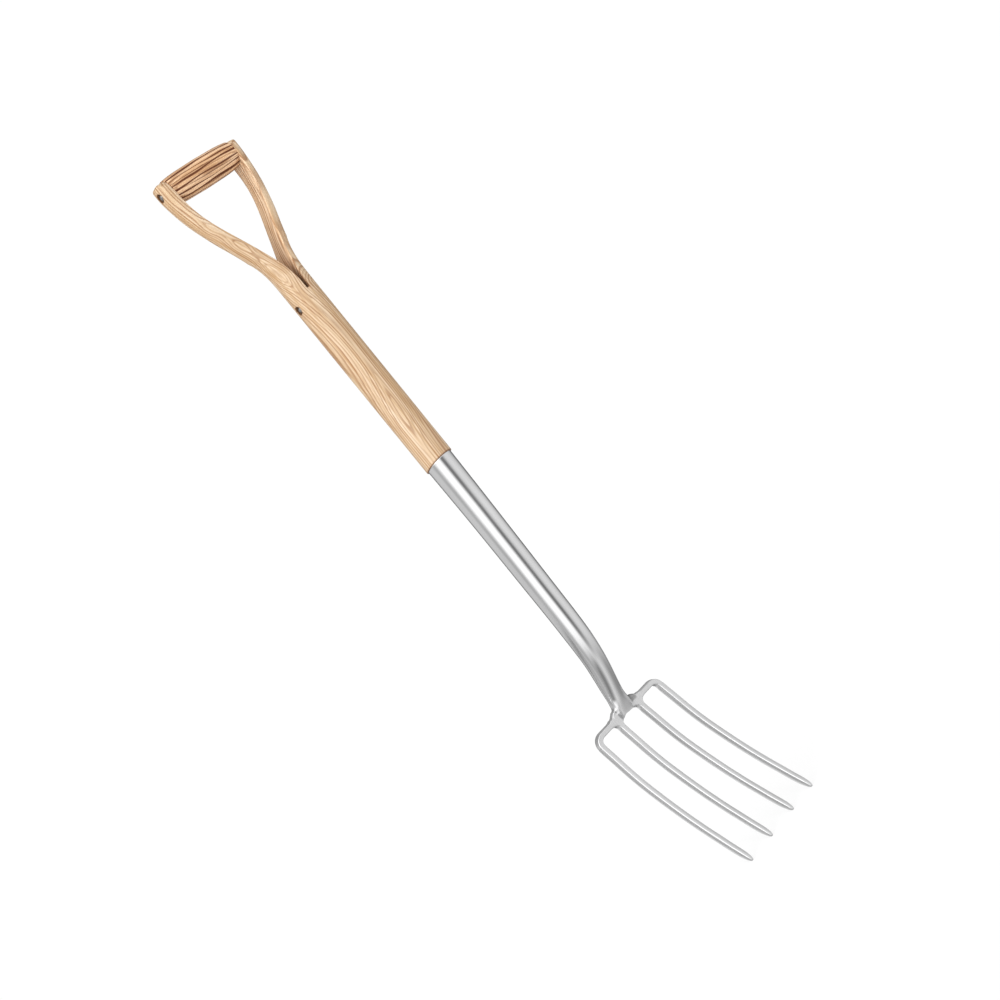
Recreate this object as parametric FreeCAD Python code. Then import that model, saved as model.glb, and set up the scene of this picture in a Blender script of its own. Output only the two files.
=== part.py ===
import FreeCAD, Part
import os
import math

# Digging fork, border size.  Millimetres.
# +Z runs up the straight ash shaft towards the grip, +X runs along the grip and
# along the row of tines, and the concave front of the tines faces -Y.  The origin
# is on the shaft's axis, where the wood meets the mouth of the steel socket.

Vector = FreeCAD.Vector
X_AXIS = Vector(1, 0, 0)

# ---- shaft and grip --------------------------------------------------------
SHAFT_R = 19.0
SLIT_FOOT = 243.0         # height where the saw cut between the two arms ends
GRIP_Z = 410.5            # height of the grip's axis
GRIP_Y = 9.0              # the grip is set back this far behind the shaft's axis
GRIP_HALF = 46.5          # inner faces of the arms at the grip
GRIP_R_MID = 17.3         # barrel radius at mid length
GRIP_R_END = 15.2         # barrel radius where it meets the arms
SPIGOT_R = 8.0            # spigots of the grip, let into the arms
SPIGOT_LEN = 4.0
SPIGOT_END_GAP = 0.1      # extra reach of the spigot holes
FIT_GAP = 0.05            # play of the grip and of the socket pin

# ---- rivets ----------------------------------------------------------------
RIVET_R = 2.5
RIVET_HOLE_R = 2.6
BORE_R = 5.2              # counterbores that sink the rivet heads
WASHER_R = 4.9
WASHER_T = 1.2
HEAD_R = 3.8
HEAD_H = 2.1
ROD_OVERLAP = 0.3         # how far the rod runs into each domed head
SPLIT_RIVET_Z = 225.5     # rivet that stops the split running down the shaft
SPLIT_SEAT = 14.4         # x of the counterbore floors at the split rivet
GRIP_SEAT = 55.4          # x of the counterbore floors at the grip rivet

# ---- socket and tenon ------------------------------------------------------
MOUTH_SLOPE = 0.25        # the socket mouth is cut on a slant, front side higher
WALL = 1.3
TENON_GAP = 0.25          # play between the tenon and the socket
TENON_FOOT = -165.0       # lower end of the wooden tenon
TENON_FOOT_R = 12.9
PIN_Z = -32.0
PIN_R = 2.0
PIN_LEN = 22.0
PIN_HEAD_R = 3.9
PIN_HEAD_T = 1.9
PIN_BACK_Y = 16.9         # flat face of the pin's head

# ---- fork head; a run is a distance down the steel from the crossbar's middle
TIP_RUN = 219.0           # length of the tines
TINE_X_OUT = (56.4, 60.6) # outer tines: centre x at the root and at the tip
TINE_X_IN = (19.1, 21.5)  # inner tines: the same
TINE_W = (7.7, 6.7)       # tine width across the row, root and tip
TINE_D = (10.2, 7.8)      # tine depth front to back, root and tip
TAPER_RUNS = (15, 190)    # runs between which the tines taper
BAR_H = 8.0               # crossbar height
BAR_D = 9.6               # crossbar depth, front to back
SHOULDER_R = 10.3         # centre-line radius of the crossbar's two shoulders
SHOULDER_STEPS = 8
BAR_Z = -355.0            # height of the crossbar's centre line
SOCKET_END_RUN = -3.0     # lower end of the socket

# ---- centre line of the steel, seen from the side: (y, z) ------------------
SIDE = [(0, 30), (0, 0), (0, -40), (0.2, -70), (0.7, -100), (1.4, -135), (2.2, -170),
        (2.9, -205), (3.9, -236), (6.0, -263), (9.6, -285), (14.6, -303),
        (19.8, -319), (24.0, -334), (26.3, -347), (26.4, -358), (24.4, -368),
        (20.2, -379.5), (15.7, -391.8), (11.1, -404.2), (5.9, -416.4),
        (0.0, -428.4), (-6.6, -440.2), (-13.4, -451.8), (-20.5, -463.2),
        (-27.8, -474.5), (-35.6, -485.6), (-43.5, -496.4), (-51.9, -507.0),
        (-60.3, -517.6), (-69.2, -528.2), (-78.3, -537.6), (-84.0, -543.0), (-92.0, -550.5)]
SAMPLE_STEPS = 1400

side_curve = Part.BSplineCurve()
side_curve.interpolate([Vector(0, y, z) for y, z in SIDE])


def sample_curve():
    """Samples (length from the top, curve parameter, z) down the side curve."""
    first, last = side_curve.FirstParameter, side_curve.LastParameter
    samples = []
    length = 0.0
    previous = side_curve.value(first)
    for i in range(SAMPLE_STEPS + 1):
        param = first + (last - first) * i / SAMPLE_STEPS
        point = side_curve.value(param)
        length += (point - previous).Length
        samples.append((length, param, point.z))
        previous = point
    return samples


def length_at(z):
    return min(SAMPLES, key=lambda sample: abs(sample[2] - z))[0]


SAMPLES = sample_curve()
BAR_LENGTH = length_at(BAR_Z)


def run_at(z):
    return length_at(z) - BAR_LENGTH


def frame_at(run):
    """Point of the side curve at a run, and its normal towards the back."""
    length = min(max(run + BAR_LENGTH, 0.0), SAMPLES[-1][0] - 1e-6)
    low, high = 0, SAMPLE_STEPS
    while high - low > 1:
        middle = (low + high) // 2
        if SAMPLES[middle][0] <= length:
            low = middle
        else:
            high = middle
    length0, param0, _ = SAMPLES[low]
    length1, param1, _ = SAMPLES[high]
    part = (length - length0) / max(length1 - length0, 1e-9)
    param = param0 + part * (param1 - param0)
    tangent = side_curve.tangent(param)[0]
    return side_curve.value(param), Vector(0, -tangent.z, tangent.y)


def bent(x, run, offset):
    """A point of the flat head, bent onto the side curve; offset is towards the back."""
    point, normal = frame_at(run)
    return Vector(x, point.y, point.z) + normal * offset


def ramp(value, start, end, first, last):
    """Straight run from first to last as value goes from start to end, level outside."""
    part = min(max((value - start) / (end - start), 0.0), 1.0)
    return first + (last - first) * part


def polygon(points):
    return Part.makePolygon(points + [points[0]])


def octagon(place, width, depth, front, back):
    """Rectangle with front and back chamfers; place turns its (u, v) into a point."""
    a, b = width / 2.0, depth / 2.0
    corners = [(-a + front, -b), (a - front, -b), (a, -b + front), (a, b - back),
               (a - back, b), (-a + back, b), (-a, b - back), (-a, -b + front)]
    return polygon([place(u, v) for u, v in corners])


# ---- fork head -------------------------------------------------------------
TINE_RUNS = (15.0, 30.0, 50.0, 75.0, 100.0, 125.0, 150.0, 172.0, 188.0)
# distance short of the tip, width, depth
TINE_POINT = [(17.0, 6.5, 7.4), (9.0, 5.4, 5.9), (3.5, 3.6, 3.8), (0.0, 1.6, 1.5)]
# run, width, depth where an inner tine flares into the crossbar
INNER_ROOT = [(-2.0, 17.0, 8.8), (3.5, 13.0, 9.2), (8.5, 9.6, 9.8)]
BAR_X = (-32.0, -16.0, 0.0, 16.0, 32.0)    # sections along the crossbar
# run, half width, half depth
HUB = [(-52.0, 6.0, 4.0), (-40.0, 7.4, 4.8), (-24.0, 9.0, 5.2), (-15.5, 10.0, 5.2),
       (-11.5, 14.5, 5.1), (-7.0, 21.0, 5.0), (-2.0, 25.5, 4.7), (1.5, 26.5, 4.4)]


def tine_rows(first_run):
    """(run, width, depth) of a tine from first_run to its point."""
    rows = [(run, ramp(run, *TAPER_RUNS, *TINE_W), ramp(run, *TAPER_RUNS, *TINE_D))
            for run in TINE_RUNS if run >= first_run]
    return rows + [(TIP_RUN - short, width, depth) for short, width, depth in TINE_POINT]


def bar_section(x, run, angle, width, depth):
    """Section of the bar; angle is 180 going up at -X, 90 along the crossbar, 0 going down."""
    across, up = math.cos(math.radians(angle)), math.sin(math.radians(angle))
    size = min(width, depth)
    return octagon(lambda u, v: bent(x + u * across, run - u * up, v),
                   width, depth, 0.21 * size, 0.27 * size)


def make_inner_tine(sign):
    return Part.makeLoft([bar_section(sign * ramp(run, 0, TIP_RUN, *TINE_X_IN), run, 0,
                                      width, depth)
                          for run, width, depth in INNER_ROOT + tine_rows(15.0)], True, False)


def make_yoke():
    """Crossbar, its two rounded shoulders and the two outer tines, one bent bar."""
    tine = [(ramp(run, 0, TIP_RUN, *TINE_X_OUT), run, 0, width, depth)
            for run, width, depth in tine_rows(30.0)]
    shoulder = []                          # the -X shoulder, from tine to crossbar
    for k in range(SHOULDER_STEPS + 1):
        part = k / SHOULDER_STEPS
        angle = 180 - 90.0 * part
        turn = math.radians(angle)
        shoulder.append((-TINE_X_OUT[0] + SHOULDER_R + SHOULDER_R * math.cos(turn),
                         SHOULDER_R - SHOULDER_R * math.sin(turn), angle,
                         TINE_W[0] + (BAR_H - TINE_W[0]) * part,
                         TINE_D[0] + (BAR_D - TINE_D[0]) * part))
    rows = [(-x, run, 180, width, depth) for x, run, _, width, depth in reversed(tine)]
    rows += shoulder
    rows += [(x, 0.0, 90, BAR_H, BAR_D) for x in BAR_X]
    rows += [(-x, run, 180 - angle, width, depth)
             for x, run, angle, width, depth in reversed(shoulder)]
    rows += tine
    return Part.makeLoft([bar_section(*row) for row in rows], True, False)


def make_hub():
    """Plate between crossbar and neck, ending in a tang inside the socket."""
    wires = []
    for run, half_w, half_d in HUB:
        chamfer = 0.42 * half_d
        wires.append(octagon(lambda u, v: bent(u, run, v),
                             2 * half_w, 2 * half_d, chamfer, chamfer))
    return Part.makeLoft(wires, True, True)


def make_head():
    return make_yoke().fuse([make_hub(), make_inner_tine(-1), make_inner_tine(1)])


# ---- steel socket ----------------------------------------------------------
# z, half width across X, half depth
TUBE = [(8, 17.45, 17.45), (-18, 17.15, 17.15), (-60, 16.6, 16.6), (-110, 16.05, 16.05),
        (-160, 15.6, 15.6), (-205, 15.15, 15.15), (-236, 14.9, 14.9), (-262, 14.4, 14.3),
        (-283, 13.6, 13.4), (-301, 12.9, 12.6), (-317, 12.4, 11.5), (-330, 12.2, 10.0),
        (-342, 12.3, 8.4)]
TUBE_BEND_Z = -190        # lengths that start below this are halved
END_HALF_W, END_HALF_D = 12.7, 7.0


def oval(run, half_w, half_d):
    """Ellipse square to the bent neck, its long axis across the tool."""
    centre, normal = frame_at(run)
    half_d = min(half_d, half_w - 1e-4)    # keeps the long axis across, even when round
    ellipse = Part.Ellipse(centre + Vector(half_w, 0, 0), centre + normal * half_d, centre)
    return Part.Wire([ellipse.toShape()])


def make_tube(shrink, end_run):
    """Tapering tube in short straight lengths, closely spaced where the neck bends."""
    wires = []
    for (z0, width0, depth0), (z1, width1, depth1) in zip(TUBE, TUBE[1:]):
        parts = 1 if z0 > TUBE_BEND_Z else 2
        for k in range(parts):
            part = k / parts
            wires.append(oval(run_at(z0 + (z1 - z0) * part),
                              width0 + (width1 - width0) * part - shrink,
                              depth0 + (depth1 - depth0) * part - shrink))
    z, half_w, half_d = TUBE[-1]
    wires.append(oval(run_at(z), half_w - shrink, half_d - shrink))
    wires.append(oval(end_run, END_HALF_W - shrink, END_HALF_D - shrink))
    return Part.makeLoft(wires, True, True)


def mouth_block(bottom):
    """Block 300 high from bottom, tilted to the slanted mouth plane through the origin."""
    block = Part.makeBox(120, 160, 300, Vector(-60, -80, bottom))
    block.rotate(Vector(0, 0, 0), X_AXIS, -math.degrees(math.atan(MOUTH_SLOPE)))
    return block


def make_socket(outer, head, pin_hole):
    inner = make_tube(WALL, SOCKET_END_RUN + 2.0)
    socket = outer.cut(inner).cut(mouth_block(0)).cut(head)
    # the head may leave loose pieces; only the tube itself is kept
    socket = max(socket.Solids, key=lambda solid: solid.Volume)
    return socket.cut(pin_hole)


# ---- weld bead round the end of the socket ---------------------------------
# run from the socket's end, then what is added to its end half width and half depth
BEAD = [(-3.0, 0.15, 0.35), (-1.2, 1.0, 0.7), (1.0, 1.2, 0.3), (2.8, 0.5, -1.9)]
BEAD_MIN_VOLUME = 3.0     # smaller scraps of the bead are dropped


def make_weld(outer, head):
    bead = Part.makeLoft([oval(SOCKET_END_RUN + run, END_HALF_W + wider, END_HALF_D + deeper)
                          for run, wider, deeper in BEAD], True, False)
    bead = bead.cut(outer).cut(head)
    return Part.makeCompound([solid for solid in bead.Solids
                              if solid.Volume > BEAD_MIN_VOLUME])


# ---- socket pin: a flat-headed pin driven in from the back -----------------
def turned(points):
    """Solid turned about the pin's own line, from (radius, y) points."""
    face = Part.Face(polygon([Vector(radius, y, PIN_Z) for radius, y in points]))
    return face.revolve(Vector(0, 0, PIN_Z), Vector(0, 1, 0), 360)


def make_pin():
    foot, neck = PIN_BACK_Y - PIN_LEN, PIN_BACK_Y - PIN_HEAD_T
    return turned([(0, foot), (PIN_R, foot), (PIN_R, neck),
                   (PIN_HEAD_R, PIN_BACK_Y), (0, PIN_BACK_Y)])


def make_pin_hole():
    """The pin with play all round, carried on out through the back."""
    foot, neck, out = PIN_BACK_Y - PIN_LEN - 0.2, PIN_BACK_Y - PIN_HEAD_T, PIN_BACK_Y + 4.0
    hole_r, sink_r = PIN_R + FIT_GAP, PIN_HEAD_R + FIT_GAP
    return turned([(0, foot), (hole_r, foot), (hole_r, neck),
                   (sink_r, PIN_BACK_Y), (sink_r, out), (0, out)])


# ---- ash shaft with its two arms -------------------------------------------
# z, inner face x, thickness of the arm, half depth, set-back, edge radius
ARM = [(SLIT_FOOT, 2.0, 16.97, 18.87, 0.0, 0.8),
       (250.0, 2.2, 16.75, 18.8, 0.0, 0.8),
       (264.0, 4.0, 15.8, 17.5, -0.3, 1.2),
       (281.0, 8.0, 15.0, 15.7, -0.4, 2.0),
       (300.0, 14.6, 14.0, 13.9, 0.2, 2.8),
       (318.0, 21.6, 14.2, 12.7, 1.4, 3.0),
       (334.0, 28.4, 14.2, 12.3, 2.8, 3.0),
       (350.0, 35.0, 13.2, 12.3, 4.4, 3.0),
       (366.0, 40.4, 12.6, 12.6, 6.0, 2.6),
       (384.0, 44.3, 12.4, 13.4, 7.6, 2.0),
       (400.0, 46.1, 12.7, 14.5, 8.6, 1.4),
       (409.5, 46.6, 13.0, 14.7, 9.0, 1.4),
       (416.0, 46.6, 12.3, 13.8, 9.0, 1.4),
       (420.6, 46.7, 10.4, 11.4, 9.0, 1.4),
       (423.4, 46.9, 7.0, 7.6, 9.0, 1.0)]
ARM_ARC_STEPS = 20
ARM_ROUND_R = SHAFT_R - 0.03               # the arms' feet stand just inside the shaft


def arm_points(sign, z, inner_x, thickness, half_d, set_back, edge_r):
    """Half-round section: flat inner face, rounded outer side, eased inner edges."""
    flat = [(inner_x, 0.55 * (half_d - edge_r)), (inner_x, half_d - 1.6 * edge_r - 0.4)]
    points = [(inner_x, 0.0)] + flat
    roundness = ramp(z, 250.0, 300.0, 1.0, 0.0)      # 1 follows the shaft's own circle
    ease = edge_r * 0.9
    for k in range(ARM_ARC_STEPS + 1):
        part = k / ARM_ARC_STEPS
        angle = math.pi / 2 - math.pi * part
        oval_x = inner_x + ease + (thickness - ease) * math.cos(angle)
        oval_y = half_d * math.sin(angle)
        turn = math.acos(min(inner_x / ARM_ROUND_R, 1.0)) * (1 - 2 * part)
        points.append((roundness * ARM_ROUND_R * math.cos(turn) + (1 - roundness) * oval_x,
                       roundness * ARM_ROUND_R * math.sin(turn) + (1 - roundness) * oval_y))
    points += [(x, -y) for x, y in reversed(flat)]
    return [Vector(sign * x, y + set_back, z) for x, y in points]


def make_arm(sign):
    sections = [arm_points(sign, *row) for row in ARM]
    # one set of knots for every section, from the mean spacing of their points
    count = len(sections[0])
    steps = [sum((points[(i + 1) % count] - points[i]).Length for points in sections)
             for i in range(count)]
    knots = [0.0]
    for step in steps:
        knots.append(knots[-1] + step / sum(steps))
    wires = []
    for points in sections:
        curve = Part.BSplineCurve()
        curve.interpolate(Points=points, PeriodicFlag=True, Parameters=knots)
        wires.append(Part.Wire([curve.toShape()]))
    return Part.makeLoft(wires, True, False)


def along_x(radius, x0, x1, y, z):
    return Part.makeCylinder(radius, x1 - x0, Vector(x0, y, z), X_AXIS)


def make_tenon():
    """The tenon follows the bore of the socket, including its slight lean."""
    shrink = WALL + TENON_GAP
    wires = [oval(run_at(z), half_w - shrink, half_d - shrink)
             for z, half_w, half_d in TUBE if z > TENON_FOOT + 8]
    wires.append(oval(run_at(TENON_FOOT), TENON_FOOT_R, TENON_FOOT_R))
    return Part.makeLoft(wires, True, True)


def cut_rivet_hole(shaft, seat, reach, y, z):
    """Through hole with a counterbore from each side, cut out to x = reach."""
    shaft = shaft.cut(along_x(RIVET_HOLE_R, -80, 80, y, z))
    shaft = shaft.cut(along_x(BORE_R, seat, reach, y, z))
    return shaft.cut(along_x(BORE_R, -reach, -seat, y, z))


def make_shaft(grip, pin_hole):
    overlap = 10.0                         # stock below the origin, for the slanted cut
    shaft = Part.makeCylinder(SHAFT_R, SLIT_FOOT + overlap, Vector(0, 0, -overlap))
    shaft = shaft.cut(mouth_block(-300)).fuse(make_tenon())
    for sign in (-1, 1):
        shaft = shaft.fuse(make_arm(sign))
    shaft = cut_rivet_hole(shaft, SPLIT_SEAT, 40, 0, SPLIT_RIVET_Z)
    shaft = cut_rivet_hole(shaft, GRIP_SEAT, 80, GRIP_Y, GRIP_Z)
    spigot_x = GRIP_HALF + SPIGOT_LEN + SPIGOT_END_GAP
    shaft = shaft.cut(along_x(SPIGOT_R + FIT_GAP, -spigot_x, spigot_x, GRIP_Y, GRIP_Z))
    shaft = shaft.cut(grip)                # fits the arms' inner faces to the barrel's ends
    return shaft.cut(pin_hole)


# ---- grip ------------------------------------------------------------------
def make_grip():
    """Barrel with a spigot at each end, bored for its rivet."""
    end_x = GRIP_HALF - FIT_GAP
    spigot_x = end_x + SPIGOT_LEN
    half = [(end_x, GRIP_R_END), (end_x * 0.72, GRIP_R_END + 1.35),
            (end_x * 0.36, GRIP_R_MID - 0.3)]
    outline = [(-x, radius) for x, radius in half] + [(0, GRIP_R_MID)] + half[::-1]
    barrel = Part.BSplineCurve()
    barrel.interpolate([Vector(x, radius, 0) for x, radius in outline])
    steps = [(end_x, GRIP_R_END), (end_x, SPIGOT_R), (spigot_x, SPIGOT_R),
             (spigot_x, RIVET_HOLE_R)]
    corners = [Vector(x, radius, 0)
               for x, radius in steps + [(-x, radius) for x, radius in reversed(steps)]]
    edges = [barrel.toShape()]
    edges += [Part.makeLine(start, end) for start, end in zip(corners, corners[1:])]
    face = Part.Face(Part.Wire(Part.__sortEdges__(edges)))
    grip = face.revolve(Vector(0, 0, 0), X_AXIS, 360)
    grip.translate(Vector(0, GRIP_Y, GRIP_Z))
    return grip


# ---- rivets and washers ----------------------------------------------------
def make_dome(base_x, sign, y, z):
    """Domed rivet head on a seat at base_x, pointing towards sign times X."""
    ball_r = (HEAD_R ** 2 + HEAD_H ** 2) / (2 * HEAD_H)
    ball = Part.makeSphere(ball_r, Vector(base_x - sign * (ball_r - HEAD_H), y, z))
    slab_t = HEAD_H + 1
    corner = Vector(base_x if sign > 0 else base_x - slab_t, y - 2 * HEAD_R, z - 2 * HEAD_R)
    return ball.common(Part.makeBox(slab_t, 4 * HEAD_R, 4 * HEAD_R, corner))


def make_rivet(seat, y, z):
    top = seat + WASHER_T
    rod = along_x(RIVET_R, -top - ROD_OVERLAP, top + ROD_OVERLAP, y, z)
    rivet = rod.fuse(make_dome(top, 1, y, z)).fuse(make_dome(-top, -1, y, z))
    return rivet.removeSplitter()


def make_washers(seat, y, z):
    washers = []
    for x0 in (-seat - WASHER_T, seat):
        x1 = x0 + WASHER_T
        hole = along_x(RIVET_HOLE_R, x0 - 1, x1 + 1, y, z)
        washers.append(along_x(WASHER_R, x0, x1, y, z).cut(hole))
    return Part.makeCompound(washers)


# ---- build, and write one file per piece -----------------------------------
head = make_head()
outer = make_tube(0.0, SOCKET_END_RUN)
pin_hole = make_pin_hole()
grip = make_grip()
grip_rivet_place = (GRIP_SEAT, GRIP_Y, GRIP_Z)
split_rivet_place = (SPLIT_SEAT, 0.0, SPLIT_RIVET_Z)

NODES = {
    "fork_head": head,
    "steel_socket": make_socket(outer, head, pin_hole),
    "socket_weld": make_weld(outer, head),
    "ash_shaft": make_shaft(grip, pin_hole),
    "grip_barrel": grip,
    "grip_rivet": make_rivet(*grip_rivet_place),
    "grip_rivet_washers": make_washers(*grip_rivet_place),
    "split_rivet": make_rivet(*split_rivet_place),
    "split_rivet_washers": make_washers(*split_rivet_place),
    "socket_pin": make_pin(),
}

os.makedirs("parts", exist_ok=True)
for name, shape in NODES.items():
    solids = shape.Solids
    shape = solids[0] if len(solids) == 1 else Part.makeCompound(solids)
    shape.exportStep("parts/" + name + ".step")
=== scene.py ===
"""Four-tined garden fork with a split ash shaft and a turned cross grip, in a pale studio.

The shaft stands along z, with the socket's mouth at z = 0, the grip 0.41 m above it and the tips
0.55 m below. x runs across the tines. -y is the front, where the bent head points; +y is the back.
The pieces are worked out in millimetres and scaled to metres when their meshes are made.
"""

import math
import bmesh
import bpy
import numpy as np
from mathutils import Matrix, Vector
from mathutils.geometry import delaunay_2d_cdt


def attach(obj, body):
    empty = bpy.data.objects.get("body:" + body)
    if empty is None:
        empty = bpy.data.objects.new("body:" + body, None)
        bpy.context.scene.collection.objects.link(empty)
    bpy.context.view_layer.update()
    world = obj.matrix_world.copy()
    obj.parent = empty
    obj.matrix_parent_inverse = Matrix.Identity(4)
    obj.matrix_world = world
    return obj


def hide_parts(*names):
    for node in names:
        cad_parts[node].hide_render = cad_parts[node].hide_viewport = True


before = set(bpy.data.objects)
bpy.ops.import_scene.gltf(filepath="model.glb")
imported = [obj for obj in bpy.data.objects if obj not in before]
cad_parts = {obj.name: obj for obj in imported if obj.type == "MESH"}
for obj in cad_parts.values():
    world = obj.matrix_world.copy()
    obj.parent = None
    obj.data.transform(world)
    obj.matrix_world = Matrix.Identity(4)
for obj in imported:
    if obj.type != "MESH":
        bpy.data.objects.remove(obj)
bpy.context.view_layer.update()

MM = 0.001


# ---------------------------------------------------------------------------
# Curves and blends
# ---------------------------------------------------------------------------
def spline(knots, values):
    """Natural cubic spline through (knots, values) as a function, held at both ends."""
    count = len(knots)
    gaps = np.diff(knots)
    system = np.zeros((count, count))
    right = np.zeros(count)
    system[0, 0] = system[-1, -1] = 1.0
    for i in range(1, count - 1):
        system[i, i - 1:i + 2] = gaps[i - 1], 2 * (gaps[i - 1] + gaps[i]), gaps[i]
        right[i] = 6 * ((values[i + 1] - values[i]) / gaps[i]
                        - (values[i] - values[i - 1]) / gaps[i - 1])
    second = np.linalg.solve(system, right)

    def at(where):
        where = np.clip(where, knots[0], knots[-1])
        i = np.clip(np.searchsorted(knots, where) - 1, 0, count - 2)
        gap = knots[i + 1] - knots[i]
        low, high = (knots[i + 1] - where) / gap, (where - knots[i]) / gap
        curve = (low ** 3 - low) * second[i] + (high ** 3 - high) * second[i + 1]
        return low * values[i] + high * values[i + 1] + curve * gap * gap / 6

    return at


def running(lengths):
    """Running total, starting at 0."""
    return np.concatenate([[0], np.cumsum(lengths)])


def smax(a, b, radius):
    """Larger of two fields, with the crease between them rounded."""
    near = np.maximum(radius - np.abs(a - b), 0.0) / radius
    return np.maximum(a, b) + near * near * radius * 0.25


def smin(a, b, radius):
    """Smaller of two fields, with the crease between them filled."""
    near = np.maximum(radius - np.abs(a - b), 0.0) / radius
    return np.minimum(a, b) - near * near * radius * 0.25


def ramp(value, lo, hi, start, end):
    return start + (end - start) * np.clip((value - lo) / (hi - lo), 0, 1)


def smooth(value, lo, hi):
    """Smooth step from 0 at lo to 1 at hi."""
    share = np.clip((value - lo) / (hi - lo), 0, 1)
    return share * share * (3 - 2 * share)


# ---------------------------------------------------------------------------
# Centre line of the steel, seen from the side
# ---------------------------------------------------------------------------
# y, z from above the socket's mouth to below the tips
SIDE = np.array([
    (0, 30), (0, 0), (0, -40), (0.2, -70), (0.7, -100), (1.4, -135), (2.2, -170),
    (2.9, -205), (3.9, -236), (6.0, -263), (9.6, -285), (14.6, -303),
    (19.8, -319), (24.0, -334), (26.3, -347), (26.4, -358), (24.4, -368),
    (20.2, -379.5), (15.7, -391.8), (11.1, -404.2), (5.9, -416.4),
    (0.0, -428.4), (-6.6, -440.2), (-13.4, -451.8), (-20.5, -463.2),
    (-27.8, -474.5), (-35.6, -485.6), (-43.5, -496.4), (-51.9, -507.0),
    (-60.3, -517.6), (-69.2, -528.2), (-78.3, -537.6), (-84.0, -543.0), (-92.0, -550.5)], float)
BAR_Z = -355.0          # middle of the crossbar

chord = running(np.linalg.norm(np.diff(SIDE, axis=0), axis=1))
fine_chord = np.linspace(0, chord[-1], 6001)
LINE_Y = spline(chord, SIDE[:, 0])(fine_chord)
LINE_Z = spline(chord, SIDE[:, 1])(fine_chord)
LINE_RUN = running(np.hypot(np.diff(LINE_Y), np.diff(LINE_Z)))
tangent_y, tangent_z = np.gradient(LINE_Y, LINE_RUN), np.gradient(LINE_Z, LINE_RUN)
tangent_len = np.hypot(tangent_y, tangent_z)
TANGENT_Y, TANGENT_Z = tangent_y / tangent_len, tangent_z / tangent_len
BAR_RUN = np.interp(-BAR_Z, -LINE_Z, LINE_RUN)

# Steel is shaped flat in (x, down, back) and then bent: down is the length along the centre
# line below the crossbar, back the offset square to it, towards +y at the socket.


def side(down):
    """y, z of the centre line, and the y, z of the direction "back"."""
    run = np.clip(np.asarray(down, float) + BAR_RUN, 0, LINE_RUN[-1])
    return (np.interp(run, LINE_RUN, LINE_Y), np.interp(run, LINE_RUN, LINE_Z),
            -np.interp(run, LINE_RUN, TANGENT_Z), np.interp(run, LINE_RUN, TANGENT_Y))


def down_at(z):
    return np.interp(-np.asarray(z, float), -LINE_Z, LINE_RUN) - BAR_RUN


def bent(x, down, back):
    """Points of the flat steel bent onto the centre line."""
    y, z, back_y, back_z = side(down)
    return np.stack([x, y + back_y * back, z + back_z * back], -1)


# ---------------------------------------------------------------------------
# Mesh helpers
# ---------------------------------------------------------------------------
def add_attributes(mesh, attributes):
    """Per-vertex attributes: numbers from flat arrays, vectors from arrays of rows."""
    for name, values in attributes.items():
        values = np.ascontiguousarray(values, dtype=np.float32)
        if values.ndim == 1:
            mesh.attributes.new(name, "FLOAT", "POINT").data.foreach_set("value", values)
        else:
            data = mesh.attributes.new(name, "FLOAT_VECTOR", "POINT").data
            data.foreach_set("vector", values.ravel())


def link_object(name, mesh):
    ob = bpy.data.objects.new(name, mesh)
    bpy.context.scene.collection.objects.link(ob)
    return ob


def shade_smooth(mesh, sharp=None):
    """Smooth faces, with edges sharp above an angle in degrees."""
    mesh.polygons.foreach_set("use_smooth", np.ones(len(mesh.polygons), dtype=bool))
    if sharp is not None:
        mesh.set_sharp_from_angle(angle=math.radians(sharp))


def quad_object(name, points, quads, attributes, sharp=None):
    """Object from points in millimetres and an array of quads."""
    mesh = bpy.data.meshes.new(name)
    points = np.ascontiguousarray(points * MM, dtype=np.float32)
    quads = np.asarray(quads, dtype=np.int32)
    mesh.vertices.add(len(points))
    mesh.vertices.foreach_set("co", points.ravel())
    mesh.loops.add(quads.size)
    mesh.loops.foreach_set("vertex_index", quads.ravel())
    mesh.polygons.add(len(quads))
    mesh.polygons.foreach_set("loop_start", np.arange(0, quads.size, 4, dtype=np.int32))
    mesh.polygons.foreach_set("loop_total", np.full(len(quads), 4, dtype=np.int32))
    shade_smooth(mesh)
    mesh.update(calc_edges=True)
    mesh.validate()
    add_attributes(mesh, attributes)
    if sharp is not None:
        mesh.set_sharp_from_angle(angle=math.radians(sharp))
    return link_object(name, mesh)


def recalc_normals(source_meshes, target):
    """Merge meshes into the target, with all normals outward."""
    bm = bmesh.new()
    for mesh in source_meshes:
        bm.from_mesh(mesh)
    bmesh.ops.recalc_face_normals(bm, faces=bm.faces)
    bm.to_mesh(target)
    bm.free()


def ring_quads(rings, seg):
    """Quads of a surface of rings with seg points each, the last ring joined to the first."""
    i = np.arange(rings)[:, None]
    j = np.arange(seg)[None, :]
    i_next, j_next = (i + 1) % rings, (j + 1) % seg
    corners = [i * seg + j, i * seg + j_next, i_next * seg + j_next, i_next * seg + j]
    return np.stack(corners, -1).reshape(-1, 4)


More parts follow.
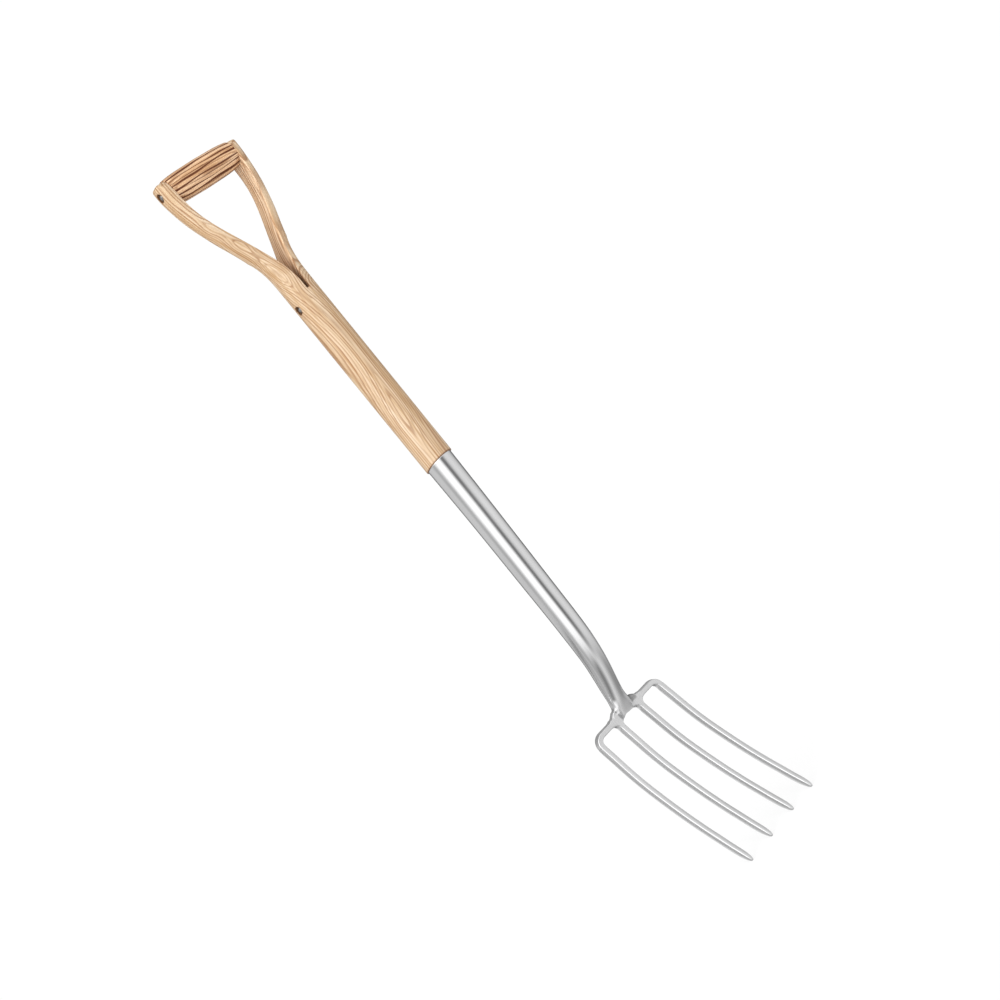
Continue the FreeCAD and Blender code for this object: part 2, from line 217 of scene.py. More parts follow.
def surface_nets(field, lo, hi, step, slab=64):
    """Closed quad mesh of field(x, y, z) = 0, with its vertices moved onto the surface.

    One vertex sits in each grid cell that the surface crosses. The field is sampled in slabs
    of x to save memory.
    """
    grid = [np.arange(l, h + step, step) for l, h in zip(lo, hi)]
    values = np.empty([len(axis) for axis in grid], np.float32)
    for i in range(0, len(grid[0]), slab):
        block = np.meshgrid(grid[0][i:i + slab], grid[1], grid[2], indexing="ij")
        values[i:i + slab] = field(*block)
    for face in (values[0], values[-1], values[:, 0], values[:, -1],
                 values[:, :, 0], values[:, :, -1]):
        np.maximum(face, 0.5, out=face)             # the box's own faces count as outside
    solid = values < 0
    cells_x, cells_y, cells_z = (len(axis) - 1 for axis in grid)
    corners = [(a, b, c) for a in (0, 1) for b in (0, 1) for c in (0, 1)]
    count = np.zeros((cells_x, cells_y, cells_z), np.int8)
    for a, b, c in corners:
        count += solid[a:a + cells_x, b:b + cells_y, c:c + cells_z]
    cells = np.argwhere((count > 0) & (count < 8))
    index = np.full(count.shape, -1, np.int64)
    index[tuple(cells.T)] = np.arange(len(cells))

    # each vertex starts at the mean of the crossings on its cell's edges
    total = np.zeros((len(cells), 3))
    crossings = np.zeros(len(cells))
    for corner in corners:
        for ax in range(3):
            if corner[ax] == 1:
                continue
            other = list(corner)
            other[ax] = 1
            near = values[tuple((cells + np.array(corner)).T)].astype(float)
            far = values[tuple((cells + np.array(other)).T)].astype(float)
            hit = (near < 0) != (far < 0)
            place = (cells + np.array(corner)).astype(float)
            place[:, ax] += np.where(hit, near / np.where(hit, near - far, 1.0), 0.0)
            total += np.where(hit[:, None], place, 0.0)
            crossings += hit
    verts = total / crossings[:, None] * step + np.array([axis[0] for axis in grid])

    # one quad for each grid edge that the surface crosses
    quads = []
    for ax in range(3):
        b, c = (ax + 1) % 3, (ax + 2) % 3
        lower = np.take(solid, range(0, solid.shape[ax] - 1), ax)
        upper = np.take(solid, range(1, solid.shape[ax]), ax)
        edges = np.argwhere(lower != upper)
        edges = edges[(edges[:, b] > 0) & (edges[:, c] > 0)
                      & (edges[:, b] < values.shape[b] - 1) & (edges[:, c] < values.shape[c] - 1)]
        inside_low = lower[tuple(edges.T)]
        step_b, step_c = np.zeros(3, int), np.zeros(3, int)
        step_b[b] = 1
        step_c[c] = 1
        around = (edges - step_b - step_c, edges - step_c, edges, edges - step_b)
        quad = np.stack([index[tuple(cell.T)] for cell in around], 1)
        quad[~inside_low] = quad[~inside_low][:, ::-1]
        quads.append(quad)
    quads = np.concatenate(quads)
    quads = quads[(quads >= 0).all(1)]

    # Newton steps onto the surface
    probe = step * 0.05
    for _ in range(3):
        here = field(*verts.T)
        slope = np.stack([field(*(verts[:, c] + probe * (c == k) for c in range(3))) - here
                          for k in range(3)], 1) / probe
        move = -here[:, None] * slope / np.maximum((slope ** 2).sum(1), 0.05)[:, None]
        length = np.linalg.norm(move, axis=1)
        move *= np.minimum(1.0, 0.45 * step / np.maximum(length, 1e-9))[:, None]
        verts += move
    return verts, quads


# ---------------------------------------------------------------------------
# Head: crossbar, four tines and the hub plate above the bar
# ---------------------------------------------------------------------------
TIP_DOWN = 219.0
SHOULDER_R = 10.3                       # centre-line radius of the bar's outer corners
OUTER_X = (56.4, 60.6)                  # outer tine's centre at the bar and at the tip
INNER_X = (19.1, 21.5)                  # inner tine's centre at the bar and at the tip
BAR_H, BAR_D = 8.0, 9.6
# down, width, depth of a tine
TINE = np.array([
    (0, 7.7, 10.0), (15, 7.7, 10.8), (190, 6.7, 9.5), (TIP_DOWN - 17, 6.6, 9.1),
    (TIP_DOWN - 13, 6.4, 8.6), (TIP_DOWN - 9, 6.15, 7.5), (TIP_DOWN - 5.5, 5.6, 5.9),
    (TIP_DOWN - 3, 4.8, 4.4), (TIP_DOWN, 2.6, 2.0)])
# down, half width of the hub plate
HUB = np.array([(-15.5, 8.0), (-11.5, 14.0), (-7.0, 20.8), (-2.0, 25.3), (1.5, 26.3)])
HUB_TOP, HUB_FOOT = -9.5, 1.5
FRONT_ROUND = 0.19                      # front rounding over the smaller of width and depth
FAR = 1e3                               # distance given to a part outside its own stretch


def tine_width(down):
    return np.interp(down, TINE[:, 0], TINE[:, 1])


def plan(x, down):
    """Distance to the head's outline, seen square on, negative inside."""
    side_x = np.abs(x)
    outer_x = ramp(down, 0, TIP_DOWN, *OUTER_X)
    inner_x = ramp(down, 0, TIP_DOWN, *INNER_X)
    width = tine_width(down)
    corner_x = OUTER_X[0] - SHOULDER_R
    corner = np.abs(np.hypot(side_x - corner_x, down - SHOULDER_R) - SHOULDER_R)
    corner = np.where((side_x >= corner_x) & (down <= SHOULDER_R), corner, FAR)
    corner_half = ramp(down, 0, SHOULDER_R, BAR_H, TINE[0, 1]) / 2
    outer = np.where(down >= SHOULDER_R, np.abs(side_x - outer_x), FAR)
    bar = np.where(side_x <= corner_x, np.abs(down), FAR)
    yoke = np.minimum(np.minimum(outer - width / 2, corner - corner_half), bar - BAR_H / 2)
    inner = np.maximum(np.abs(side_x - inner_x) - width / 2, -down - 1.0)
    inner = smax(inner, down - TIP_DOWN, 1.2)
    yoke = smax(yoke, down - TIP_DOWN, 1.2)
    tines = smin(yoke, inner, 9.0)
    hub = np.maximum(side_x - np.interp(down, HUB[:, 0], HUB[:, 1]),
                     np.maximum(HUB_TOP - down, down - HUB_FOOT))
    return smin(tines, hub * 0.9, 2.5)


def head_depth(down):
    """Thickness of the head, its front rounding and the chamfer of its back edges."""
    tine = np.interp(down, TINE[:, 0], TINE[:, 2])
    depth = np.where(down < 15, BAR_D + (tine - BAR_D) * smooth(down, 4, 15), tine)
    depth = depth - smooth(-down, 3.4, 6.4) * 2.0       # the hub plate is thinner
    smaller = np.minimum(tine_width(down), depth)
    chamfer = 0.20 + 0.10 * smooth(down, 20, 110)
    return depth, FRONT_ROUND * smaller, chamfer * smaller


def head_field(x, down, back):
    edge = plan(x, down)
    depth, front_round, back_chamfer = head_depth(down)
    field = smax(edge, back - depth / 2, 0.7)
    field = smax(field, -back - depth / 2, 0.7)
    field = smax(field, (edge - back - depth / 2 + front_round * 0.6) * 0.7071, 0.5)
    return smax(field, (edge + back - depth / 2 + back_chamfer) * 0.7071, 0.5)


def plan_slope(x, down):
    """Slope of plan along x and along down."""
    probe = 0.02
    around = plan(np.array([x + probe, x - probe, x, x]),
                  np.array([down, down, down + probe, down - probe]))
    return (around[0] - around[1]) / (2 * probe), (around[2] - around[3]) / (2 * probe)


def outline():
    """Outline of the head's +x half with its normals, from the middle gap round both tines
    to the top of the hub."""
    x, down = 0.0, BAR_H / 2
    for _ in range(20):
        slope = plan_slope(x, down)[1]
        down -= float(plan(x, down)) / max(abs(slope), 0.2) * np.sign(slope)
    points, normals = [], []
    last_x, last_down = 1.0, 0.0                        # direction of the last step
    for i in range(9000):
        slope_x, slope_down = plan_slope(x, down)
        steep = math.hypot(slope_x, slope_down)
        normal_x, normal_down = slope_x / steep, slope_down / steep
        points.append((x, down))
        normals.append((normal_x, normal_down))
        if i > 50 and x <= 1e-3:
            break
        go_x, go_down = normal_down, -normal_x
        if go_x * last_x + go_down * last_down < -0.3:
            go_x, go_down = -go_x, -go_down
        straight = go_x * last_x + go_down * last_down
        # short steps at the tips, medium ones in bends and near the bar
        if down > TIP_DOWN - 6:
            step = 0.22
        else:
            step = 0.35 if straight < 0.9985 or down < 26 else 1.0
        last_x, last_down = go_x, go_down
        x, down = x + go_x * step, down + go_down * step
        for _ in range(4):                              # back onto the outline
            off = float(plan(x, down))
            slope_x, slope_down = plan_slope(x, down)
            square = max(slope_x * slope_x + slope_down * slope_down, 0.05)
            x, down = x - off * slope_x / square, down - off * slope_down / square
    points, normals = np.array(points), np.array(normals)
    points[0, 0] = points[-1, 0] = 0.0
    normals[0], normals[-1] = (0, 1), (0, -1)
    return points, normals


def weld_painted_shade(x, down):
    """Painted shade: darker steel beside the weld, mostly on the +x side."""
    right = smooth(x, 9.4, 10.6) * (1 - smooth(x, 18.5, 21.5)) * smooth(-down, 0.8, 3.0)
    left = smooth(-x, 10.5, 12.5) * (1 - smooth(-x, 15.0, 18.0)) * smooth(-down, 5.0, 8.0)
    return right + 0.35 * left


def edge_profile(depth, size):
    """(inset from the outline, back) of each ring from the front face to the back face."""
    radius, lead = 0.15 * size, 0.065 * size
    profile = []
    for k in range(5):                                  # front edge, a small quarter round
        turn = math.pi / 2 * (1 - k / 4)
        profile.append((lead + radius * (1 - math.cos(turn)),
                        -depth / 2 + radius * (1 - math.sin(turn))))
    for degrees in (0.0, 16.0, 31.0, 46.0, 61.0, 75.0):     # flank and back, a quarter oval
        turn = math.radians(degrees)
        profile.append((0.22 * size * (1 - math.cos(turn)),
                        -0.05 * depth + 0.55 * depth * math.sin(turn)))
    return profile


def face_points(facing):
    """Grid points over the head's front (facing -1) or back (+1), slightly crowned."""
    x, down = np.meshgrid(np.arange(-64, 64.1, 0.8), np.arange(-9, TIP_DOWN, 1.7), indexing="ij")
    x, down = x.ravel(), down.ravel()
    depth, rounding, _ = head_depth(down)
    inset = (0.215 if facing < 0 else 0.165) * rounding / FRONT_ROUND + 0.5
    keep = plan(x, down) < -inset
    x, down, depth, rounding = x[keep], down[keep], depth[keep], rounding[keep]
    rim = 1.13 * rounding
    share = np.clip((-plan(x, down) - rim) / np.maximum(tine_width(down) / 2 - rim, 0.3), 0, 1)
    height = 0.20 * smooth(down, 6, 30) if facing < 0 else 0.12
    crown = height * (1 - (1 - share) ** 2)
    return np.stack([x, down, facing * (depth / 2 + crown)], 1)


def build_head():
    """Rings round the outline, front and back faces filled between them, bent to shape."""
    right, right_normals = outline()
    points = np.concatenate([right, right[::-1][1:-1] * [-1, 1]])
    normals = np.concatenate([right_normals, right_normals[::-1][1:-1] * [-1, 1]])
    count = len(points)
    depth, rounding, _ = head_depth(points[:, 1])
    # softened normals keep neighbouring insets from crossing
    for _ in range(2):
        normals = normals + 0.5 * (np.roll(normals, 1, 0) + np.roll(normals, -1, 0))
        normals /= np.linalg.norm(normals, axis=1)[:, None]
    rings = [np.stack([points[:, 0] - normals[:, 0] * (inset + 0.06),
                       points[:, 1] - normals[:, 1] * (inset + 0.06), back], 1)
             for inset, back in edge_profile(depth, rounding / FRONT_ROUND)]
    verts = np.concatenate(rings)
    quads = ring_quads(len(rings), count)[:(len(rings) - 1) * count]
    faces = [tuple(int(i) for i in quad) for quad in quads]
    for ring, facing in ((rings[0], -1), (rings[-1], 1)):
        base = 0 if facing < 0 else (len(rings) - 1) * count
        rim = ring[:, :2]
        extra = face_points(facing)
        area = 0.5 * float(np.sum(rim[:, 0] * np.roll(rim[:, 1], -1)
                                  - np.roll(rim[:, 0], -1) * rim[:, 1]))
        loop = list(range(count))
        if area <= 0:
            loop.reverse()
        flat = [Vector(p) for p in rim] + [Vector(p) for p in extra[:, :2]]
        _, _, cut, origins, _, _ = delaunay_2d_cdt(flat, [], [loop], 1, 1e-7)
        source = [o[0] if len(o) else -1 for o in origins]
        start = len(verts)
        verts = np.concatenate([verts, extra])
        for face in cut:
            index = [source[i] for i in face]
            if min(index) < 0:
                continue
            ids = [base + i if i < count else start + i - count for i in index]
            p, q, r = (verts[i][:2] for i in ids[:3])
            turn = (q[0] - p[0]) * (r[1] - p[1]) - (r[0] - p[0]) * (q[1] - p[1])
            faces.append(tuple(ids if turn > 0 else ids[::-1]))
    mesh = bpy.data.meshes.new("Fork_Head")
    placed = bent(verts[:, 0], verts[:, 1], verts[:, 2])
    mesh.from_pydata([tuple(p) for p in placed * MM], [], faces)
    recalc_normals([mesh], mesh)
    # the second attribute is painted shade beside the weld
    add_attributes(mesh, {"flow": verts * MM, "weld_shade": weld_painted_shade(verts[:, 0], verts[:, 1])})
    shade_smooth(mesh, sharp=28)
    return link_object("Fork_Head", mesh)


# ---------------------------------------------------------------------------
# Socket tube and the weld that joins it to the head
# ---------------------------------------------------------------------------
# z, half width, half depth of the tube
TUBE = np.array([
    (8, 17.45, 17.45), (-18, 17.15, 17.15), (-60, 16.6, 16.6), (-110, 16.05, 16.05),
    (-160, 15.6, 15.6), (-205, 15.15, 15.15), (-236, 14.9, 14.9), (-262, 14.4, 14.3),
    (-283, 13.6, 13.4), (-301, 12.9, 12.6), (-317, 12.4, 11.5), (-330, 12.2, 10.0),
    (-342, 12.3, 8.4)])
# down, half width, half depth of its pressed end
TUBE_END = np.array([(-3.0, 12.6, 6.9), (3.6, 12.2, 5.35)])
TUBE_DOWN = np.concatenate([down_at(TUBE[:, 0]), TUBE_END[:, 0]])
tube_width = spline(TUBE_DOWN, np.concatenate([TUBE[:, 1], TUBE_END[:, 1]]))
tube_depth = spline(TUBE_DOWN, np.concatenate([TUBE[:, 2], TUBE_END[:, 2]]))
WALL = 1.3
MOUTH_R = 17.42
MOUTH_SLOPE = 0.25                      # fall of the slanted mouth towards +y
SOCKET_SEG = 144
FLOW_R = 16.0                           # radius that turns angles into flow lengths


def squareness(down):
    """2 where the tube is oval, more where it is pressed flat at its end."""
    return 2.0 + 1.5 * smooth(down, -22, -3)


def neck_field(x, down, back):
    width, depth = tube_width(down), tube_depth(down)
    power = squareness(down)
    u, v = np.abs(x / width), np.abs(back / depth)
    reach = (u ** power + v ** power + 1e-12) ** (1 / power)
    slope = (np.sqrt((u ** (power - 1) / width) ** 2 + (v ** (power - 1) / depth) ** 2)
             / np.maximum(reach, 1e-3) ** (power - 1))
    return smax((reach - 1) / np.maximum(slope, 1e-3), down - 3.4, 1.5)


def weld_field(x, down, back):
    """Fillet between head and neck, kept to a thin layer near both."""
    head, neck = head_field(x, down, back), neck_field(x, down, back)
    both = smin(head, neck, 4.2) + 0.03
    hard = np.minimum(head, neck)
    near = np.maximum(np.abs(head), np.abs(neck)) - 3.4
    sides = 8.6 - np.abs(x) - 6.0 * smooth(back, -2.0, 2.0)
    return smax(np.maximum(np.maximum(both, -hard - 0.9), near), sides, 1.2)


def build_weld():
    verts, quads = surface_nets(weld_field, lo=(-27, -15, -9.5), hi=(27, 7.5, 9.5), step=0.32)
    # painted shade beside the weld, as darker steel
    tint = weld_painted_shade(verts[:, 0], verts[:, 1])
    return quad_object("Ground_Weld", bent(verts[:, 0], verts[:, 1], verts[:, 2]), quads,
                       {"flow": verts * MM, "weld_shade": tint})


def build_socket():
    """Tapered tube from the slanted mouth to the flattened end in the head."""
    angle = np.arange(SOCKET_SEG) * 2 * np.pi / SOCKET_SEG
    cosine, sine = np.cos(angle), np.sin(angle)
    heights = np.concatenate([np.linspace(-7, -250, 150), np.linspace(-251.5, -340, 70)])
    end = np.linspace(float(down_at(-341.5)), 3.2, 16)
    stations = np.concatenate([down_at(heights), end])

    def flow(down, shrink):
        return np.stack([angle * FLOW_R, np.broadcast_to(down, angle.shape),
                         np.full(SOCKET_SEG, shrink)], 1)

    def ring(down, shrink):
        width, depth = tube_width(down) - shrink, tube_depth(down) - shrink
        power = 2.0 / float(squareness(down))
        x = width * np.sign(cosine) * np.abs(cosine) ** power
        back = depth * np.sign(sine) * np.abs(sine) ** power
        # the pressed end is cut to a shallow curve
        curved = down - 1.9 * smooth(down, -9, 3.2) * np.abs(x / width) ** 3
        return bent(x, curved, back), flow(down, shrink)

    def mouth_ring(radius, drop, shrink):
        x, y = radius * cosine, radius * sine
        z = -MOUTH_SLOPE * y - drop
        return np.stack([x, y, z], 1), flow(down_at(z), shrink)

    # eased lip, a blend from slanted to level, the outer wall down and the inner wall up
    rings = [mouth_ring(16.8, 0.0, 1.0), mouth_ring(17.3, 0.06, 0.2),
             mouth_ring(MOUTH_R, 0.4, 0.0)]
    top, first = rings[-1], ring(stations[0], 0.0)
    blend = 9
    for k in range(1, blend):
        share = k / blend
        rings.append(tuple(a * (1 - share) + b * share for a, b in zip(top, first)))
    rings += [ring(down, 0.0) for down in stations]
    rings += [ring(down, WALL) for down in stations[::-1][3::4]]
    rings.append(mouth_ring(MOUTH_R - WALL, 0.0, WALL))
    points = np.concatenate([row for row, _ in rings])
    flows = np.concatenate([row for _, row in rings])
    quads = ring_quads(len(rings), SOCKET_SEG)[:, ::-1]
    return quad_object("Steel_Socket", points, quads, {"flow": flows * MM}, sharp=50)


# ---------------------------------------------------------------------------
# Ash shaft with its two arms
# ---------------------------------------------------------------------------
SHAFT_R = 19.0
SLIT_FOOT = 239.2
GRIP_Z, GRIP_Y = 410.5, 9.0
ARM_END_Z, ARM_END_R = GRIP_Z - 0.5, 14.6       # rounded end of each arm
TENON_GAP, TENON_TOP, TENON_FOOT = 0.25, 3.0, -165.0
BORE_R = 5.2
# each rivet: distance of its washers' seats from x = 0, then y, z of its axis
SPLIT_RIVET = (14.4, 0.0, 225.5)
GRIP_RIVET = (55.4, GRIP_Y, GRIP_Z)
# z, x of the arm's inner face, thickness in x, half depth in y, y of its middle, edge rounding
ARM = np.array([
    (243, 2.0, 17.0, 18.9, 0.0, 0.8), (250, 2.2, 16.8, 18.8, 0.0, 0.8),
    (264, 4.0, 15.8, 17.5, -0.3, 1.2), (281, 8.0, 15.0, 15.7, -0.4, 1.6),
    (300, 14.6, 14.0, 13.9, 0.2, 1.9), (318, 21.6, 14.2, 12.7, 1.4, 2.0),
    (334, 28.4, 14.2, 12.3, 2.8, 2.0), (350, 35.0, 13.2, 12.3, 4.4, 1.9),
    (366, 40.4, 12.6, 12.6, 6.0, 1.8), (384, 44.3, 12.4, 13.4, 7.6, 1.6),
    (400, 46.1, 12.7, 14.5, 8.6, 1.4), (409.5, 46.6, 13.0, 14.9, 9.0, 1.4),
    (424, 46.6, 13.0, 15.0, 9.0, 1.4)])
ARM_SPLINES = [spline(ARM[:, 0], ARM[:, k]) for k in range(1, 6)]


def arm_at(z):
    """The columns of ARM after the first, at height z."""
    z = np.maximum(z, 241.0)
    return [curve(z) for curve in ARM_SPLINES]


def wood_field(x, y, z):
    side_x = np.abs(x)
    inner_x, thick, half_y, mid_y, rounding = arm_at(z)
    # round shaft turning into half-oval arms
    round_share = np.clip((300.0 - z) / 50.0, 0, 1)
    cylinder = np.hypot(x, y) - SHAFT_R
    half_x = thick - 0.9 * rounding
    u = np.maximum(side_x - inner_x - 0.9 * rounding, 0) / half_x
    v = (y - mid_y) / half_y
    reach = np.sqrt(u ** 2 + v ** 2)
    slope = np.sqrt((u / half_x) ** 2 + (v / half_y) ** 2) / np.maximum(reach, 1e-6)
    oval = (reach - 1) / np.maximum(slope, 1e-3)
    outer = round_share * cylinder + (1 - round_share) * oval
    # rounded end of each arm, turned about an axis just below the rivet's
    end = np.hypot(y - GRIP_Y, z - ARM_END_Z) - ARM_END_R
    end = np.where(z > ARM_END_Z, end, -50.0)
    crown = z - 424.0 + np.maximum(side_x - 53.5, 0) ** 2 * 0.09
    outer = smax(outer, smax(end, crown, 1.6), 2.0)
    slit = np.maximum(side_x - inner_x, SLIT_FOOT - z)
    field = smax(outer, -slit, 1.1)
    # above the slit only the two arms remain; below it the plain shaft
    field = np.where(z < SLIT_FOOT - 6, cylinder, field)
    # shoulder at the mouth of the socket, and the tenon below it
    shoulder = z + MOUTH_SLOPE * y
    shaft = smax(field, -shoulder * 0.97, 0.5)
    down = down_at(z)
    tenon_r = tube_width(down) - WALL - TENON_GAP
    tenon = np.maximum(np.hypot(x, y - side(down)[0]) - tenon_r,
                       np.maximum(z - TENON_TOP, TENON_FOOT - z))
    field = np.minimum(shaft, tenon)
    for seat, bore_y, bore_z in (SPLIT_RIVET, GRIP_RIVET):      # counterbores
        bore = np.maximum(np.hypot(y - bore_y, z - bore_z) - BORE_R, seat - side_x)
        field = smax(field, -bore, 0.35)
    return field


def grain_coords(verts):
    """Straightened coordinates of the wood: the fibres follow the two bent arms."""
    x, y, z = verts.T
    inner_x, _, _, mid_y, _ = arm_at(z)
    split = z > SLIT_FOOT
    foot_x = float(arm_at(SLIT_FOOT)[0])
    grain_x = np.where(split, np.sign(x) * (np.abs(x) - inner_x + foot_x), x)
    grain_y = np.where(split, y - mid_y, y)
    return np.stack([grain_x, grain_y, z], 1)


# z, and the direction in degrees round the shaft where the rings lie flat
PITH = np.array([(-170, -130), (0, -130), (32, -127), (92, -110), (165, -98), (205, -108),
                 (243, -130), (300, -128), (430, -124)], float)
pith_angle = spline(PITH[:, 0], np.radians(PITH[:, 1]))
# z, x, y of the rings' centre line on the -x arm
LEFT_PITH = np.array([(243, -12.4, -12.0), (279, -12.6, -8.6), (310, -10.0, -11.4),
                      (341, -7.0, -12.0), (400, -9.0, -9.0)])
RIGHT_PITH = (3.0, -9.0)                # x, y of the centre line on the +x arm
RIGHT_ACROSS = (0.20, -0.62)            # x, y of the direction across it
# ovals in the grain: height, spread along z, rise in rings, spread from the centre line
LEFT_OVALS = ((271, 24, 3.1, 24), (318, 15, 2.1, 22), (350, 14, 1.3, 20))
SHAFT_OVALS = ((70, 36, 1.3, 20), (150, 36, -0.5, 16))
RIGHT_OVALS = ((300, 26, 1.2, 18), (372, 24, 1.2, 18))


def ring_coord(grain):
    """Growth-ring number at each point; its contours are the grain lines on the surface."""
    x, y, z = grain.T
    left, right = smooth(z, 222, 262) * (x < 0), smooth(z, 240, 275) * (x >= 0)
    arms = left + right
    angle = pith_angle(z)
    pith_x = (SHAFT_R * np.cos(angle) * (1 - arms)
              + left * np.interp(z, LEFT_PITH[:, 0], LEFT_PITH[:, 1]) + right * RIGHT_PITH[0])
    pith_y = (SHAFT_R * np.sin(angle) * (1 - arms)
              + left * np.interp(z, LEFT_PITH[:, 0], LEFT_PITH[:, 2]) + right * RIGHT_PITH[1])
    across_x, across_y = -np.sin(angle), np.cos(angle)
    across_x = across_x + right * (RIGHT_ACROSS[0] - across_x)
    across_y = across_y + right * (RIGHT_ACROSS[1] - across_y)
    across = (x - pith_x) * across_x + (y - pith_y) * across_y
    # slow waves along the shaft
    across = across + 0.9 * np.sin(z / 62.0 + 0.4) + 0.25 * np.sin(z / 27.0 + x / 15.0 + 1.0)
    radius = np.hypot(x - pith_x, y - pith_y)
    # 2.75 mm a ring, blunted at the centre line
    rings = np.sqrt(across * across + 6.0) / 2.75 + radius * 0.03
    rings = (rings + 0.20 * np.sin(z / 45.0 + across / 9.0)
             + 0.05 * np.sin(z / 19.0 + across / 5.0 + 2.0) + (z - 100) * 0.0022)

    def ovals(table):
        return sum(rise * np.exp(-((z - height) / long) ** 2 - (radius / wide) ** 2)
                   for height, long, rise, wide in table)

    rings = rings - left * ovals(LEFT_OVALS)
    rings = rings - (1 - arms) * ovals(SHAFT_OVALS)
    return rings - right * ovals(RIGHT_OVALS)


def inner_light_and_shade_mask(verts):
    """1 on the flat inner faces of the arms and in the slit, 0 elsewhere; it masks painted light
    on those faces and painted shade at the slit's foot.
    """
    x, _, z = verts.T
    off_face = np.abs(x) - arm_at(z)[0]
    return (1 - smooth(off_face, 0.2, 1.6)) * smooth(z, SLIT_FOOT - 3, SLIT_FOOT + 1)


def recess_shade_and_joint(verts):
    """1 at the painted shade in the slit's foot and the rivet recesses, and along the dark joint
    line where the wood meets the socket.
    """
    _, y, z = verts.T
    slit = inner_light_and_shade_mask(verts) * (1 - smooth(z, 246, 282)) * 0.8
    hole = np.zeros(len(verts))
    for _, bore_y, bore_z in (SPLIT_RIVET, GRIP_RIVET):
        off_bore = np.hypot(y - bore_y, z - bore_z) - BORE_R
        hole = np.maximum(hole, 1 - smooth(off_bore, 0.0, 0.5))
    joint = 1 - smooth(z + MOUTH_SLOPE * y, 0.4, 1.5)
    return np.maximum(np.maximum(slit, hole), joint * 0.9)


def build_shaft():
    verts, quads = surface_nets(wood_field, lo=(-63, -21.5, -167), hi=(63, 27, 426),
                                step=0.85, slab=24)
    grain = grain_coords(verts)
    # inner masks the painted light on the arms' inner faces
    attributes = {"grain": grain * MM, "ring": ring_coord(grain),
                  # the last attribute marks painted shade in the slit foot and rivet recesses, and
                  # the dark joint line at the socket
                  "inner": inner_light_and_shade_mask(verts), "shade_and_joint": recess_shade_and_joint(verts)}
    return quad_object("Ash_Shaft", verts, quads, attributes, sharp=65)


# ---------------------------------------------------------------------------
# Turned grip
# ---------------------------------------------------------------------------
GRIP_HALF = 46.45                       # half length of the barrel
GRIP_SEG = 540
SPIGOT_R, SPIGOT_LEN, SPIGOT_HOLE_R = 8.0, 4.0, 2.6
GROOVE_CUT = 0.34                       # depth of the strongest groove
GROOVE_COUNT = 27
grip_radius = spline(GRIP_HALF * np.array([-1, -0.72, -0.36, 0, 0.36, 0.72, 1]),
                     np.array([15.2, 16.55, 17.0, 17.3, 17.0, 16.55, 15.2]))


def groove_depth(x, angle):
    """Strength, 0 to 1, of the wandering grain grooves along the barrel."""
    depth = np.zeros_like(angle)
    for k in range(GROOVE_COUNT):
        middle = 2 * math.pi * (k + 0.5 + 0.34 * math.sin(k * 2.3 + 0.4)) / GROOVE_COUNT
        strong = 0.5 + 0.5 * math.sin(k * 1.9 + 1.1)
        phase = k * 1.7
        centre = (middle + 0.040 * np.sin(x / 21.0 + phase)
                  + 0.016 * np.sin(x / 8.5 + 2.1 * phase))
        width = (0.7 + 0.9 * strong) * (0.043 + 0.015 * np.sin(x / 13.0 + phase * 1.3))
        away = np.angle(np.exp(1j * (angle - centre)))
        fade = 0.55 + 0.45 * np.sin(x / 30.0 + phase * 2.0)
        cut = (0.45 + 0.55 * strong) * (0.5 + 0.5 * fade)
        depth = np.maximum(depth, cut * np.exp(-(away / width) ** 2))
    return depth


def build_grip():
    """Barrel with grain opened up along its length, and a spigot at each end."""
    angle = np.arange(GRIP_SEG) * 2 * np.pi / GRIP_SEG
    spigot_end = GRIP_HALF + SPIGOT_LEN
    # x, radius, depth of the grooves
    stations = [(-spigot_end, SPIGOT_HOLE_R, 0.0), (-spigot_end, SPIGOT_R, 0.0),
                (-GRIP_HALF, SPIGOT_R, 0.0)]
    stations += [(x, float(grip_radius(x)), GROOVE_CUT)
                 for x in np.linspace(-GRIP_HALF, GRIP_HALF, 210)]
    stations += [(GRIP_HALF, SPIGOT_R, 0.0), (spigot_end, SPIGOT_R, 0.0),
                 (spigot_end, SPIGOT_HOLE_R, 0.0)]
    rows, depths = [], []
    for x, radius, cut in stations:
        depth = groove_depth(x, angle)
        reach = radius - depth * cut
        rows.append(np.stack([np.full(GRIP_SEG, x), GRIP_Y + reach * np.cos(angle),
                              GRIP_Z + reach * np.sin(angle)], 1))
        depths.append(depth)
    verts = np.concatenate(rows)
    quads = np.roll(ring_quads(len(rows), GRIP_SEG), -1, axis=1)
    grain = verts - [0, GRIP_Y, GRIP_Z]
    return quad_object("Grip_Barrel", verts, quads,
                       {"grain": grain * MM, "groove": np.concatenate(depths)}, sharp=50)


# ---------------------------------------------------------------------------
# Fasteners, turned about their own axes
# ---------------------------------------------------------------------------
TURNED_SEG = 72
WASHER_T = 1.2
# radius, distance from the seat
WASHER = [(2.6, 0.0), (4.75, 0.0), (4.9, 0.15), (4.9, 1.05), (4.75, WASHER_T),
          (2.75, WASHER_T), (2.6, 1.05)]
RIVET_ROD_R, RIVET_HEAD_R, RIVET_HEAD_H = 2.5, 3.8, 2.1
RIVET_RIM = 0.18                        # height of the head's straight rim
RIVET_ROWS = 14
PIN_Z, PIN_END_Y = -32.0, 16.9
# radius, depth below the pin's outer end
PIN = [(0.0, 22.0), (1.7, 22.0), (2.0, 21.7), (2.0, 1.9), (3.8, 0.12), (3.7, 0.02),
       (2.6, 0.0), (1.2, 0.04), (0.0, 0.05)]


